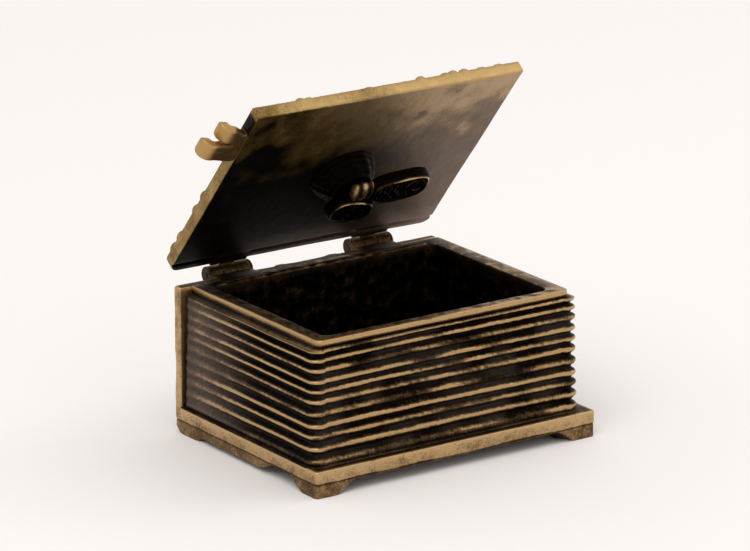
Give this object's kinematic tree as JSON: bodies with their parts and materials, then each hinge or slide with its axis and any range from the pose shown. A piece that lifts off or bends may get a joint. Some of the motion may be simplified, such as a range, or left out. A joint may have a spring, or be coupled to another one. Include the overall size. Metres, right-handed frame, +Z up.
{
  "type": "book-shaped trinket box",
  "caption": "Book-shaped cast brass trinket box that lies on bracket feet; its hinged front cover carries an owl relief and opens on a hollow page block.",
  "frame": {"origin": "centre of the whole box's bounding box with the cover at rest, on the plane the feet stand on", "axes": "+X along the book's long side, -Y the fore edge, +Y the spine and hinges, +Z up"},
  "size_m": [0.101, 0.074, 0.0986],
  "materials": {
    "cover_brass": "sand-cast brass, dark patina rubbed bright on its edges",
    "page_brass": "sand-cast brass, black patina in the page grooves and rubbed crests",
    "lid_brass": "sand-cast brass, brown-black patina with a satin sheen",
    "hinge_brass": "darkened brass, satin",
    "ornament_brass": "cast brass relief, dark hollows and rubbed highlights"
  },
  "bodies": {
    "base": {"bottom_cover": "cover_brass", "foot_front_left": "cover_brass", "foot_front_right": "cover_brass", "foot_rear_left": "cover_brass", "foot_rear_right": "cover_brass", "spine": "cover_brass", "page_block": "page_brass", "hinge_left_box_leaf": "hinge_brass", "hinge_left_pin": "hinge_brass", "hinge_right_box_leaf": "hinge_brass", "hinge_right_pin": "hinge_brass"},
    "lid": {"hinge_left_lid_leaf": "hinge_brass", "hinge_right_lid_leaf": "hinge_brass", "lid_cover": "lid_brass", "ribbon_tail": "ornament_brass", "foliage_border": "ornament_brass", "owl_relief": "ornament_brass", "perch_relief": "ornament_brass", "bow_boss": "ornament_brass", "bow_saddle": "ornament_brass", "bow_long_lobe": "ornament_brass", "bow_short_lobe": "ornament_brass"}
  },
  "joints": [
    {"name": "lid_hinge", "type": "hinge", "parent": "base", "child": "lid", "pos_m": [0, 0.03458, 0.0404], "axis": [-1, 0, 0], "range_deg": [-50, 55]}
  ]
}
